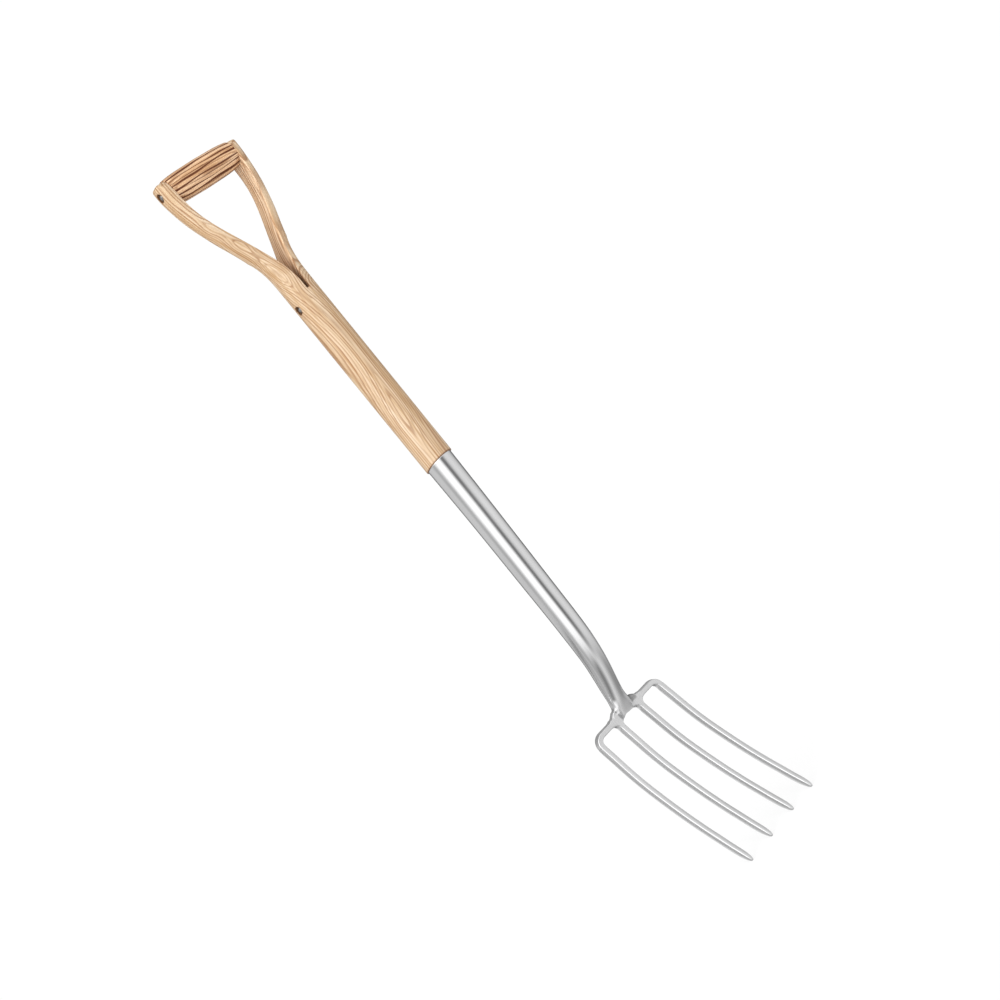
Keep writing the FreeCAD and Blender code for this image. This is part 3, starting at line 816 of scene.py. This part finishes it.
def turned(name, profile, origin, axis):
    """Mesh from (radius, distance along the axis) pairs; a profile that starts off the axis
    is closed into a ring."""
    axis = Vector(axis).normalized()
    first = axis.orthogonal().normalized()
    second = axis.cross(first)
    verts, faces, rings = [], [], []
    for radius, along in profile:
        middle = Vector(origin) + axis * along
        start = len(verts)
        if radius < 1e-6:
            verts.append(middle)
        else:
            for k in range(TURNED_SEG):
                turn = 2 * math.pi * k / TURNED_SEG
                verts.append(middle + (first * math.cos(turn) + second * math.sin(turn)) * radius)
        rings.append(range(start, len(verts)))
    pairs = list(zip(rings, rings[1:]))
    if len(rings[0]) > 1:
        pairs.append((rings[-1], rings[0]))
    for low, high in pairs:
        for k in range(TURNED_SEG):
            after = (k + 1) % TURNED_SEG
            if len(low) == 1:
                faces.append((low[0], high[after], high[k]))
            elif len(high) == 1:
                faces.append((low[k], low[after], high[0]))
            else:
                faces.append((low[k], low[after], high[after], high[k]))
    mesh = bpy.data.meshes.new(name)
    mesh.from_pydata([tuple(v * MM) for v in verts], [], faces)
    return mesh


def joined(name, meshes):
    """One object from several meshes."""
    mesh = bpy.data.meshes.new(name)
    recalc_normals(meshes, mesh)
    shade_smooth(mesh, sharp=35)
    return link_object(name, mesh)


def rivet_half(seat):
    """Profile from the rod's middle to the domed head with a small flat on top."""
    rim_z, top = seat + RIVET_RIM, seat + RIVET_HEAD_H
    dome_r = (RIVET_HEAD_R ** 2 + RIVET_HEAD_H ** 2) / (2 * RIVET_HEAD_H)
    profile = [(RIVET_ROD_R, 0.0), (RIVET_ROD_R, seat), (RIVET_HEAD_R - 0.15, seat),
               (RIVET_HEAD_R, rim_z)]
    for k in range(1, RIVET_ROWS + 1):
        radius = RIVET_HEAD_R * (1 - k / RIVET_ROWS)
        height = top - (dome_r - math.sqrt(dome_r ** 2 - radius ** 2))
        if radius < 1.0:
            height = min(height, top - 0.10)
        profile.append((radius, max(height, rim_z)))
    return profile


def rivet(name, seat, y, z):
    half = rivet_half(seat + WASHER_T)
    other = [(radius, -along) for radius, along in half[::-1]][:-1]
    return joined(name, [turned(name, other + half, (0, y, z), (1, 0, 0))])


def washers(name, seat, y, z):
    return joined(name, [turned(name + "a", WASHER, (seat, y, z), (1, 0, 0)),
                         turned(name + "b", WASHER, (-seat, y, z), (-1, 0, 0))])


def pin(name):
    profile = [(radius, PIN_END_Y - depth) for radius, depth in PIN]
    return joined(name, [turned(name, profile, (0, 0, PIN_Z), (0, 1, 0))])


# ---------------------------------------------------------------------------
# Shader helpers
# ---------------------------------------------------------------------------
def grey(level):
    return (level, level, level)


class Nodes:
    """Short ways to add nodes to a shader tree. Values may be numbers, colours or sockets."""

    def __init__(self, tree):
        self.tree = tree
        tree.nodes.clear()

    def link(self, source, target):
        self.tree.links.new(source, target)

    def new(self, kind, **props):
        node = self.tree.nodes.new(kind)
        for key, value in props.items():
            setattr(node, key, value)
        return node

    def put(self, socket, value):
        if isinstance(value, (int, float)):
            socket.default_value = value
        elif isinstance(value, tuple):
            socket.default_value = (*value, 1.0)
        else:
            self.link(value, socket)

    def attr(self, name, output="Fac"):
        return self.new("ShaderNodeAttribute", attribute_name=name).outputs[output]

    def noise(self, vector, scale, detail=4.0, rough=0.55):
        """Noise with its own scale on each axis."""
        mapping = self.new("ShaderNodeMapping")
        mapping.inputs["Scale"].default_value = scale
        self.link(vector, mapping.inputs["Vector"])
        node = self.new("ShaderNodeTexNoise")
        self.put(node.inputs["Scale"], 1.0)
        self.put(node.inputs["Detail"], detail)
        self.put(node.inputs["Roughness"], rough)
        self.link(mapping.outputs["Vector"], node.inputs["Vector"])
        return node.outputs["Fac"]

    def math(self, operation, a, b=None, clamp=False):
        node = self.new("ShaderNodeMath", operation=operation, use_clamp=clamp)
        self.put(node.inputs[0], a)
        if b is not None:
            self.put(node.inputs[1], b)
        return node.outputs[0]

    def times(self, a, b, clamp=False):
        return self.math("MULTIPLY", a, b, clamp)

    def plus(self, a, b, clamp=False):
        return self.math("ADD", a, b, clamp)

    def ramp(self, fac, stops):
        """Colour ramp from (position, grey level) pairs."""
        node = self.new("ShaderNodeValToRGB")
        elements = node.color_ramp.elements
        while len(elements) < len(stops):
            elements.new(0.5)
        for element, (position, level) in zip(elements, stops):
            element.position = position
            element.color = (*grey(level), 1.0)
        self.link(fac, node.inputs["Fac"])
        return node.outputs["Color"]

    def remap(self, value, span, to=(0.0, 1.0), curve="LINEAR"):
        node = self.new("ShaderNodeMapRange", interpolation_type=curve)
        for key, number in zip(("From Min", "From Max", "To Min", "To Max"), (*span, *to)):
            self.put(node.inputs[key], number)
        self.link(value, node.inputs["Value"])
        return node.outputs["Result"]

    def mix(self, fac, a, b, mode="MIX"):
        node = self.new("ShaderNodeMix", data_type="RGBA", blend_type=mode)
        for index, value in ((0, fac), (6, a), (7, b)):
            self.put(node.inputs[index], value)
        return node.outputs[2]

    def mix_shaders(self, fac, a, b):
        node = self.new("ShaderNodeMixShader")
        for index, value in enumerate((fac, a, b)):
            self.link(value, node.inputs[index])
        return node.outputs[0]

    def bump(self, height, strength, distance, normal=None):
        node = self.new("ShaderNodeBump")
        self.put(node.inputs["Strength"], strength)
        self.put(node.inputs["Distance"], distance)
        self.link(height, node.inputs["Height"])
        if normal is not None:
            self.link(normal, node.inputs["Normal"])
        return node.outputs["Normal"]


class Surface(Nodes):
    """A material whose output is one Principled shader."""

    def __init__(self, name):
        self.material = bpy.data.materials.new(name)
        self.material.use_nodes = True
        super().__init__(self.material.node_tree)
        self.out = self.new("ShaderNodeOutputMaterial")
        self.shader = self.new("ShaderNodeBsdfPrincipled")
        self.link(self.shader.outputs["BSDF"], self.out.inputs["Surface"])

    def set(self, name, value):
        self.put(self.shader.inputs[name], value)


# ---------------------------------------------------------------------------
# Materials
# ---------------------------------------------------------------------------
# Colour of the painted shade beside the weld
WELD_SHADE_COLOUR = (0.17, 0.167, 0.165)


def steel(name, tint, rough, streak, brush, on_flow=True, wear=0.5, grain=1.0):
    """Ground steel with fine scratches, cloudy roughness and faint handling marks.

    streak is the contrast of the scratches, brush their noise scale on each axis, wear the
    strength of the rough spots and grain that of the bumps. on_flow lays the scratches along
    the mesh's flow attribute.
    """
    mat = Surface(name)
    if on_flow:
        vector = mat.attr("flow", "Vector")
    else:
        vector = mat.new("ShaderNodeTexCoord").outputs["Object"]
    fine = mat.noise(vector, brush, detail=5.0, rough=0.62)
    coarse = (brush[0] * 0.28, brush[1] * 0.5, brush[2] * 0.28)
    mid = mat.noise(vector, coarse, detail=3.0, rough=0.5)
    cloud = mat.noise(vector, (28, 9, 28))
    spots = mat.noise(vector, (160, 120, 160), detail=6.0, rough=0.7)
    lines = mat.plus(mat.times(fine, 0.6), mat.times(mid, 0.4))

    tone = mat.times(mat.remap(lines, (0.3, 0.7), to=(1.0 - streak, 1.0 + streak)),
                     mat.remap(cloud, (0.3, 0.7), to=(0.94, 1.04)))
    tone_colour = mat.new("ShaderNodeCombineColor")
    for k in range(3):
        mat.link(tone, tone_colour.inputs[k])
    colour = mat.mix(1.0, tint, tone_colour.outputs[0], "MULTIPLY")
    # painted shade: the steel beside the weld is darkened towards this colour
    colour = mat.mix(mat.times(mat.attr("weld_shade"), 0.62), colour, WELD_SHADE_COLOUR)
    mat.set("Base Color", colour)
    mat.set("Metallic", 1.0)

    roughness = mat.plus(mat.remap(lines, (0.3, 0.7), to=(rough - 0.05, rough + 0.07)),
                         mat.remap(cloud, (0.35, 0.65), to=(-0.03, 0.05)))
    roughness = mat.plus(roughness, mat.remap(spots, (0.62, 0.8), to=(0.0, 0.10 * wear)))
    mat.set("Roughness", roughness)
    normal = mat.bump(mid, strength=0.05 * grain, distance=0.00010)
    mat.set("Normal", mat.bump(cloud, strength=0.06 * grain, distance=0.0005, normal=normal))
    return mat.material


def wood_layers(mat, grain, rings, stretch, pale, mid, dark, line):
    """Colour, dark lines, roughness and height shared by both woods.

    rings is the growth-ring number, stretch scales the noises down along the fibres.
    """
    def noise(scale, detail, rough):
        scale = tuple(a * b for a, b in zip(scale, stretch))
        return mat.noise(grain, scale, detail=detail, rough=rough)

    # early wood: a thin dark line with a soft shoulder on one side
    early = mat.ramp(mat.math("FRACT", rings), [(0.0, 1), (0.22, 0.86), (0.40, 0.30), (0.66, 0.0),
                                                (0.90, 0.10), (1.0, 1)])
    # each ring has its own strength
    random = mat.new("ShaderNodeTexWhiteNoise", noise_dimensions="1D")
    mat.link(mat.math("FLOOR", rings), random.inputs["W"])
    power = mat.remap(random.outputs["Value"], (0.0, 1.0), to=(0.45, 1.1))

    fibre = noise((1400, 1400, 1400), detail=5.0, rough=0.65)
    band = noise((300, 300, 300), detail=4.0, rough=0.6)
    broad = noise((92, 46, 92), detail=3.0, rough=0.5)
    fine = noise((620, 620, 279), detail=3.0, rough=0.6)
    pore_scale = tuple(2600 * max(a, 0.06) for a in stretch)
    pores = mat.remap(mat.noise(grain, pore_scale, detail=2.0, rough=0.5), (0.60, 0.72))

    # broad patches, bands, fine streaks both ways, fibres, ring lines, then pores
    colour = mat.mix(mat.remap(broad, (0.32, 0.68)), pale, mid)
    colour = mat.mix(mat.times(mat.remap(band, (0.40, 0.66)), 0.72), colour, dark)
    colour = mat.mix(mat.times(mat.remap(fine, (0.50, 0.66)), 0.55), colour, dark)
    colour = mat.mix(mat.times(mat.remap(fine, (0.46, 0.30)), 0.30), colour, pale)
    colour = mat.mix(mat.times(mat.remap(fibre, (0.35, 0.75)), 0.30), colour, dark)
    lines = mat.times(mat.times(early, power), mat.remap(fibre, (0.2, 0.7), to=(0.65, 1.0)),
                      clamp=True)
    colour = mat.mix(mat.times(lines, 0.85), colour, line)
    colour = mat.mix(mat.times(mat.times(pores, mat.plus(lines, 0.25)), 0.35), colour, line)

    # fibres stand up, lines and pores sink
    height = mat.math("SUBTRACT", mat.times(fibre, 0.35), mat.times(lines, 0.5))
    height = mat.math("SUBTRACT", height, mat.times(pores, 0.25))
    rough = mat.plus(mat.remap(broad, (0.3, 0.7), to=(0.38, 0.50)), mat.times(lines, 0.12))
    return colour, lines, rough, height


def finish_wood(mat, colour, rough, height, coat, specular):
    mat.set("Base Color", colour)
    mat.set("Roughness", rough)
    mat.set("Coat Weight", coat)
    mat.set("Coat Roughness", 0.28)
    mat.set("Specular IOR Level", specular)
    mat.set("Normal", mat.bump(height, strength=0.35, distance=0.00022))
    return mat.material


def ash_wood():
    """Shaft: ring lines from the mesh, inner faces made lighter as painted light, painted shade in
    the recesses, and a dark joint line at the socket.
    """
    mat = Surface("m_ash_wood")
    line = (0.25, 0.098, 0.028)
    grain = mat.attr("grain", "Vector")
    warp = mat.remap(mat.noise(grain, (95, 95, 4.5)), (0.3, 0.7), to=(-0.24, 0.24))
    ripple = mat.noise(grain, (420, 420, 9), detail=3.0, rough=0.6)
    ripple = mat.remap(ripple, (0.3, 0.7), to=(-0.10, 0.10))
    rings = mat.plus(mat.attr("ring"), mat.plus(warp, ripple))
    colour, lines, rough, height = wood_layers(
        mat, grain, rings, stretch=(1, 1, 0.035), pale=(0.725, 0.585, 0.43),
        mid=(0.645, 0.485, 0.315), dark=(0.435, 0.255, 0.112), line=line)
    inner = mat.attr("inner")
    # painted light: the arms' inner faces and the slit are made paler
    colour = mat.mix(inner, colour, (1.30, 1.29, 1.30), "MULTIPLY")
    colour = mat.mix(mat.times(mat.times(lines, inner), 0.55), colour, line)
    # painted shade in the slit foot and rivet recesses, and the dark joint line at the socket's
    # mouth
    colour = mat.mix(mat.times(mat.attr("shade_and_joint"), 0.85), colour, (0.17, 0.066, 0.022))
    return finish_wood(mat, colour, rough, height, coat=0.12, specular=0.36)


def grip_wood():
    """Grip: flat growth rings across y and z, with dark grooves."""
    mat = Surface("m_grip_wood")
    grain = mat.attr("grain", "Vector")
    split = mat.new("ShaderNodeSeparateXYZ")
    mat.link(grain, split.inputs[0])
    # rings per metre along y and z
    rings = mat.plus(mat.times(split.outputs["Y"], 330.0), mat.times(split.outputs["Z"], 210.0))
    warp = mat.remap(mat.noise(grain, (7, 90, 90)), (0.3, 0.7), to=(-0.7, 0.7))
    colour, _, rough, height = wood_layers(
        mat, grain, mat.plus(rings, warp), stretch=(0.03, 1, 1), pale=(0.92, 0.66, 0.44),
        mid=(0.80, 0.53, 0.31), dark=(0.49, 0.25, 0.10), line=(0.22, 0.074, 0.018))
    groove = mat.attr("groove")
    colour = mat.mix(mat.remap(groove, (0.12, 0.43), to=(0.0, 0.98)), colour,
                     (0.105, 0.024, 0.005))
    rough = mat.plus(rough, mat.times(groove, 0.35), clamp=True)
    return finish_wood(mat, colour, rough, height, coat=0.06, specular=0.28)


# ---------------------------------------------------------------------------
# Build the pieces
# ---------------------------------------------------------------------------
m_head = steel("m_head_steel", tint=(0.895, 0.895, 0.90), rough=0.24, streak=0.05,
               brush=(700, 16, 700), grain=0.6)
m_socket = steel("m_socket_steel", tint=(0.90, 0.90, 0.905), rough=0.13, streak=0.035,
                 brush=(900, 6, 600), grain=0.5)
m_weld = steel("m_weld_steel", tint=(0.84, 0.84, 0.845), rough=0.27, streak=0.06,
               brush=(500, 300, 500))
m_rivet = steel("m_rivet_steel", tint=(0.40, 0.38, 0.355), rough=0.38, streak=0.15,
                brush=(600, 600, 600), on_flow=False, wear=1.0)
m_washer = steel("m_washer_steel", tint=(0.30, 0.265, 0.225), rough=0.46, streak=0.18,
                 brush=(500, 700, 700), on_flow=False, wear=1.0)
m_pin = steel("m_pin_steel", tint=(0.60, 0.60, 0.61), rough=0.30, streak=0.10,
              brush=(900, 900, 900), on_flow=False)
m_ash = ash_wood()
m_grip = grip_wood()

# object, the CAD node it replaces, its slot, its material
pieces = [
    (build_head(), "fork_head", "head_steel", m_head),
    (build_weld(), "socket_weld", "weld_steel", m_weld),
    (build_socket(), "steel_socket", "socket_steel", m_socket),
    (build_shaft(), "ash_shaft", "ash_wood", m_ash),
    (build_grip(), "grip_barrel", "grip_wood", m_grip),
    (rivet("Grip_Rivet", *GRIP_RIVET), "grip_rivet", "rivet_steel", m_rivet),
    (washers("Grip_Rivet_Washers", *GRIP_RIVET), "grip_rivet_washers", "washer_steel", m_washer),
    (rivet("Split_Rivet", *SPLIT_RIVET), "split_rivet", "rivet_steel", m_rivet),
    (washers("Split_Rivet_Washers", *SPLIT_RIVET), "split_rivet_washers", "washer_steel",
     m_washer),
    (pin("Socket_Pin"), "socket_pin", "pin_steel", m_pin),
]
for ob, node, slot, material in pieces:
    ob.data.materials.append(material)
    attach(ob, "root")
    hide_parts(node)

# ---------------------------------------------------------------------------
# Studio (metres): pale floor, white surroundings, soft lights
# ---------------------------------------------------------------------------
FLOOR_Z = -0.5425
FLOOR_RINGS = [0.25, 0.5, 1.0, 2.0, 4.0, 8.0, 16.0]
FLOOR_SEG = 96
BACKDROP = 1.02                         # brightness of the backdrop and the far floor


def floor_material():
    """Matt white that glows like the backdrop far out, so that no horizon shows."""
    mat = Surface("m_floor")
    coords = mat.new("ShaderNodeTexCoord").outputs["Object"]
    soft = mat.noise(coords, (6, 6, 6), detail=3.0, rough=0.5)
    mat.set("Base Color", mat.mix(soft, grey(0.90), grey(0.93)))
    mat.set("Roughness", 0.9)
    mat.set("Specular IOR Level", 0.1)
    camera_ray = mat.new("ShaderNodeLightPath").outputs["Is Camera Ray"]
    glow = mat.new("ShaderNodeEmission")
    mat.put(glow.inputs["Color"], grey(1.0))
    mat.put(glow.inputs["Strength"], BACKDROP)
    reach = mat.new("ShaderNodeVectorMath", operation="LENGTH")
    mat.link(mat.new("ShaderNodeNewGeometry").outputs["Position"], reach.inputs[0])
    far = mat.remap(reach.outputs["Value"], (0.55, 0.95), to=(0.80, 1.0))
    mixed = mat.mix_shaders(mat.times(camera_ray, far, clamp=True),
                            mat.shader.outputs["BSDF"], glow.outputs[0])
    mat.link(mixed, mat.out.inputs["Surface"])
    return mat.material


def floor():
    """Large flat disc, made ring by ring."""
    verts = [(0, 0, FLOOR_Z)]
    for radius in FLOOR_RINGS:
        for k in range(FLOOR_SEG):
            turn = 2 * math.pi * k / FLOOR_SEG
            verts.append((radius * math.cos(turn), radius * math.sin(turn), FLOOR_Z))
    faces = [(0, 1 + k, 1 + (k + 1) % FLOOR_SEG) for k in range(FLOOR_SEG)]
    for i in range(len(FLOOR_RINGS) - 1):
        start = 1 + i * FLOOR_SEG
        for k in range(FLOOR_SEG):
            a, b = start + k, start + (k + 1) % FLOOR_SEG
            faces.append((a, a + FLOOR_SEG, b + FLOOR_SEG, b))
    mesh = bpy.data.meshes.new("Studio_Floor")
    mesh.from_pydata(verts, [], faces)
    mesh.update()
    ob = link_object("Studio_Floor", mesh)
    mesh.materials.append(floor_material())
    ob.visible_glossy = False        # the steel shows the surroundings, not the floor's edge
    return ob


floor()

# Camera pose as world-to-camera: rotation vector in radians, then shift in millimetres, for a
# camera that looks along its +z with +y down
CAM_ROTATION = np.array([1.33799, -0.963296, -0.087201])
CAM_SHIFT = np.array([-67.386217, -42.688415, 1803.469401])
CAM_SENSOR, CAM_LENS = 36.0, 58.32


def add_camera():
    angle = float(np.linalg.norm(CAM_ROTATION))
    x, y, z = CAM_ROTATION / angle
    cross = np.array([[0, -z, y], [z, 0, -x], [-y, x, 0]])
    rotation = np.eye(3) + math.sin(angle) * cross + (1 - math.cos(angle)) * (cross @ cross)
    place = -rotation.T @ CAM_SHIFT * MM
    axes = rotation.T @ np.diag([1.0, -1.0, -1.0])
    data = bpy.data.cameras.new("Camera")
    data.sensor_width = CAM_SENSOR
    data.lens = CAM_LENS
    data.clip_start, data.clip_end = 0.05, 60.0
    camera = link_object("Camera", data)
    camera.matrix_world = Matrix([[*axes[k], place[k]] for k in range(3)] + [[0, 0, 0, 1]])
    bpy.context.scene.camera = camera


add_camera()

# Surroundings seen in the steel: (degrees from +x towards +y, grey level).
# Level with the eye: the cards that draw the long bands down the socket
EYE = [(-180, 0.45), (-172, 0.50), (-166, 0.66), (-152, 1.15), (-122, 1.20), (-113, 1.00),
       (-104, 0.46), (-98, 0.20), (-88, 0.17), (-80, 0.36), (-70, 0.66), (-50, 0.78),
       (-20, 0.70), (6, 0.46), (20, 0.20), (36, 0.08), (70, 0.08), (92, 0.24), (106, 0.56),
       (125, 0.62), (160, 0.62), (172, 0.47), (180, 0.45)]
# Below: what the bent neck sees
UNDER = [(-180, 0.40), (-165, 0.31), (-155, 0.23), (-142, 0.23), (-130, 0.35), (-115, 0.56),
         (-99, 0.74), (-80, 0.66), (-55, 0.46), (-33, 0.32), (0, 0.25), (30, 0.16), (60, 0.12),
         (95, 0.22), (118, 0.50), (149, 0.55), (165, 0.50), (180, 0.45)]
# Above: the big soft source, brightest where the tines' edges look
OVER = [(-180, 1.7), (-165, 2.1), (-148, 2.0), (-134, 1.5), (-118, 1.15), (-95, 0.98),
        (-75, 0.82), (-50, 0.66), (-30, 0.55), (0, 0.46), (40, 0.40), (80, 0.32), (120, 0.40),
        (150, 0.60), (170, 1.2), (180, 1.7)]
# What the tines' flanks see, in the upper and the lower part of a strip below the eye
FLANK_UPPER = [(-180, 0.60), (20, 0.70), (70, 0.76), (90, 0.66), (102, 0.48), (112, 0.31),
               (122, 0.21), (160, 0.19), (170, 0.45), (180, 0.60)]
FLANK_LOWER = [(-180, 0.80), (20, 0.85), (70, 0.86), (92, 0.82), (106, 0.76), (116, 0.71),
               (123, 0.64), (131, 0.52), (160, 0.42), (170, 0.70), (180, 0.80)]
# Share of that strip round the compass
FLANK_SHARE = [(-180, 0.0), (24, 0.0), (40, 1.0), (160, 1.0), (172, 0.0), (180, 0.0)]


def build_world():
    """Plain white to the camera, the graded surroundings to everything else."""
    world = bpy.data.worlds.new("Studio")
    bpy.context.scene.world = world
    world.use_nodes = True
    sky = Nodes(world.node_tree)
    split = sky.new("ShaderNodeSeparateXYZ")
    sky.link(sky.new("ShaderNodeTexCoord").outputs["Generated"], split.inputs[0])
    bearing = sky.math("ARCTAN2", split.outputs["Y"], split.outputs["X"])
    bearing = sky.remap(bearing, (-math.pi, math.pi))

    def compass(levels):
        return sky.ramp(bearing, [((degrees + 180) / 360.0, level) for degrees, level in levels])

    def by_height(lo, hi, below, above):
        """Blend between two heights of the direction, -1 straight down to 1 straight up."""
        share = sky.remap(split.outputs["Z"], (lo, hi), curve="SMOOTHSTEP")
        return sky.mix(share, below, above)

    flank = by_height(-0.300, -0.245, compass(FLANK_LOWER), compass(FLANK_UPPER))
    strip = sky.times(by_height(-0.225, -0.185, grey(1.0), grey(0.0)),
                      by_height(-0.58, -0.50, grey(0.0), grey(1.0)))
    low = by_height(-0.66, -0.24, compass(UNDER), compass(EYE))
    low = sky.mix(sky.times(strip, compass(FLANK_SHARE)), low, flank)
    high = by_height(0.06, 0.30, low, compass(OVER))
    top = by_height(0.86, 0.98, high, grey(0.95))
    around = by_height(-0.97, -0.80, grey(0.55), top)

    surroundings = sky.new("ShaderNodeBackground")
    sky.put(surroundings.inputs["Color"], around)
    backdrop = sky.new("ShaderNodeBackground")
    sky.put(backdrop.inputs["Color"], grey(1.0))
    sky.put(backdrop.inputs["Strength"], BACKDROP)
    camera_ray = sky.new("ShaderNodeLightPath").outputs["Is Camera Ray"]
    mixed = sky.mix_shaders(camera_ray, surroundings.outputs[0], backdrop.outputs[0])
    sky.link(mixed, sky.new("ShaderNodeOutputWorld").inputs["Surface"])


build_world()

LIGHT_TARGET = (0, 0, -0.05)


def area_light(name, place, size, watts):
    """Soft light aimed at the tool, unseen in reflections."""
    data = bpy.data.lights.new(name, "AREA")
    data.shape = "RECTANGLE"
    data.size, data.size_y = size
    data.energy = watts
    ob = bpy.data.objects.new(name, data)
    ob.location = place
    aim = Vector(LIGHT_TARGET) - Vector(place)
    ob.rotation_euler = aim.to_track_quat("-Z", "Y").to_euler()
    bpy.context.scene.collection.objects.link(ob)
    ob.visible_glossy = False


area_light("Key", place=(-0.3, -2.3, 1.6), size=(1.4, 1.4), watts=15)
area_light("Fill_Left", place=(-2.4, -0.6, 0.5), size=(1.2, 2.0), watts=27)
area_light("Fill_Right", place=(2.2, -1.3, 0.4), size=(1.2, 2.0), watts=9)
area_light("Fill_Back", place=(1.2, 2.2, 1.0), size=(1.6, 1.6), watts=14)

bpy.context.scene.view_settings.view_transform = "Standard"
bpy.context.scene.view_settings.look = "None"
